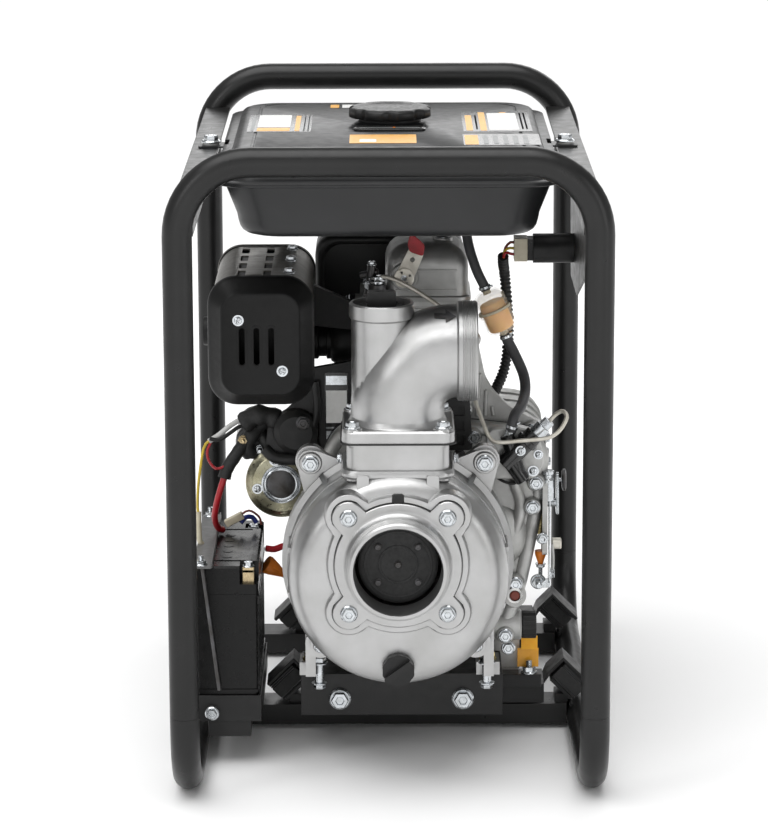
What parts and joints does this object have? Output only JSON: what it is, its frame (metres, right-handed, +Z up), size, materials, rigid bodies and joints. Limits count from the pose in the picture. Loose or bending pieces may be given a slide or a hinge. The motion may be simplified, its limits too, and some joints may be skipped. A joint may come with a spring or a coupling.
{
  "type": "engine-driven trash pump",
  "caption": "Self-priming trash pump driven by an air-cooled engine in a tubular carry frame, with fuel tank, muffler, battery and electric starter.",
  "frame": {"origin": "centre of the frame's footprint, on the floor", "axes": "+X towards the discharge outlet, +Y from the pump end to the recoil end, +Z up"},
  "size_m": [0.506, 0.774, 0.77],
  "materials": {
    "black_frame": "satin black powder coat",
    "black_bracket": "satin black paint",
    "cast_aluminium": "cast and bead blasted",
    "zinc_steel": "bright zinc plate",
    "dark_steel": "oiled steel",
    "cast_iron": "as cast",
    "heat_shield": "heat-tinted plain sheet",
    "muffler_black": "matt heat-resistant black",
    "black_plastic": "moulded, fine grain",
    "battery_plastic": "moulded, slightly glossy",
    "rubber": "plain",
    "filter_plastic": "translucent",
    "cable_red": "smooth",
    "dipstick_orange": "smooth"
  },
  "bodies": {
    "root": {"air_cleaner": "black_plastic", "battery": "battery_plastic", "battery_clamp": "zinc_steel", "battery_tray": "black_bracket", "blower_housing": "black_bracket", "cradle_front": "black_bracket", "cradle_rear": "black_bracket", "crankcase": "cast_aluminium", "crankcase_cover": "cast_aluminium", "cross_member_front": "black_frame", "cross_member_rear": "black_frame", "cylinder": "cast_aluminium", "cylinder_head": "cast_aluminium", "discharge_elbow": "cast_aluminium", "front_hoop": "black_frame", "fuel_filter": "filter_plastic", "fuel_hose_lower": "rubber", "fuel_hose_upper": "rubber", "injection_pump": "cast_aluminium", "injector_pipe": "zinc_steel", "key_panel": "black_bracket", "muffler_body": "muffler_black", "muffler_front_cover": "muffler_black", "muffler_heat_shield": "heat_shield", "pump_back_cover": "cast_aluminium", "pump_bracket": "black_bracket", "pump_casing": "cast_aluminium", "rear_hoop": "black_frame", "recoil_housing": "black_bracket", "rocker_cover": "cast_aluminium", "rubber_mount_front_left": "rubber", "rubber_mount_front_right": "rubber", "rubber_mount_rear_left": "rubber", "rubber_mount_rear_right": "rubber", "runner_left": "black_frame", "runner_right": "black_frame", "shaft_seal": "dark_steel", "side_rail_left": "black_frame", "side_rail_right": "black_frame", "starter_cable": "cable_red", "starter_motor": "black_bracket", "suction_gasket": "rubber", "suction_port": "cast_aluminium", "tank_lower_shell": "black_plastic", "tank_upper_shell": "black_plastic", "wiring_loom": "black_plastic"},
    "fuel_cap": {"fuel_cap": "black_plastic"},
    "priming_plug": {"priming_plug": "black_plastic"},
    "drain_plug": {"drain_plug": "black_plastic"},
    "decompression_lever": {"decompression_lever": "zinc_steel"},
    "speed_lever": {"speed_lever": "zinc_steel"},
    "crank_train": {"crankshaft": "dark_steel", "flywheel": "cast_iron", "impeller": "cast_iron"},
    "camshaft": {"camshaft": "dark_steel"},
    "piston": {"piston": "cast_aluminium"},
    "check_valve": {"check_valve_flap": "rubber"},
    "recoil_handle": {"recoil_handle": "black_plastic"},
    "ignition_key": {"ignition_key": "zinc_steel"},
    "oil_dipstick": {"oil_dipstick": "dipstick_orange"}
  },
  "joints": [
    {"name": "fuel_cap_turn", "type": "hinge", "parent": "root", "child": "fuel_cap", "pos_m": [0.0025, 0.091, 0.745], "axis": [0, 0, 1], "range_deg": [0, 90]},
    {"name": "priming_plug_turn", "type": "hinge", "parent": "root", "child": "priming_plug", "pos_m": [-0.008, -0.272, 0.58], "axis": [0, 0, 1], "continuous": true},
    {"name": "drain_plug_turn", "type": "hinge", "parent": "root", "child": "drain_plug", "pos_m": [0.01, -0.35, 0.16], "axis": [0, -1, 0], "continuous": true},
    {"name": "decompression_lever_turn", "type": "hinge", "parent": "root", "child": "decompression_lever", "pos_m": [0.019, -0.068, 0.566], "axis": [0, 1, 0], "range_deg": [-60, 0]},
    {"name": "speed_lever_turn", "type": "hinge", "parent": "root", "child": "speed_lever", "pos_m": [0.202, -0.122, 0.3], "axis": [1, 0, 0], "range_deg": [-20, 25]},
    {"name": "crank_spin", "type": "hinge", "parent": "root", "child": "crank_train", "pos_m": [0.01, 0, 0.262], "axis": [0, 1, 0], "continuous": true},
    {"name": "camshaft_spin", "type": "hinge", "parent": "root", "child": "camshaft", "pos_m": [0.085, 0, 0.29], "axis": [0, 1, 0], "continuous": true},
    {"name": "piston_stroke", "type": "slide", "parent": "root", "child": "piston", "axis": [0, 0, 1], "range_m": [-0.07, 0]},
    {"name": "check_valve_swing", "type": "hinge", "parent": "root", "child": "check_valve", "pos_m": [0.01, -0.337, 0.329], "axis": [1, 0, 0], "range_deg": [0, 28]},
    {"name": "recoil_pull", "type": "slide", "parent": "root", "child": "recoil_handle", "axis": [-0.7071, 0, 0.7071], "range_m": [0, 0.1], "stiffness_N_per_m": 60},
    {"name": "ignition_key_turn", "type": "hinge", "parent": "root", "child": "ignition_key", "pos_m": [0.235, -0.06, 0.6], "axis": [1, 0, 0], "range_deg": [0, 80]},
    {"name": "oil_dipstick_pull", "type": "slide", "parent": "root", "child": "oil_dipstick", "axis": [0, 0, 1], "range_m": [0, 0.05]}
  ],
  "couplings": [
    {"joint": "camshaft_spin", "follows": "crank_spin", "ratio": -0.5}
  ]
}
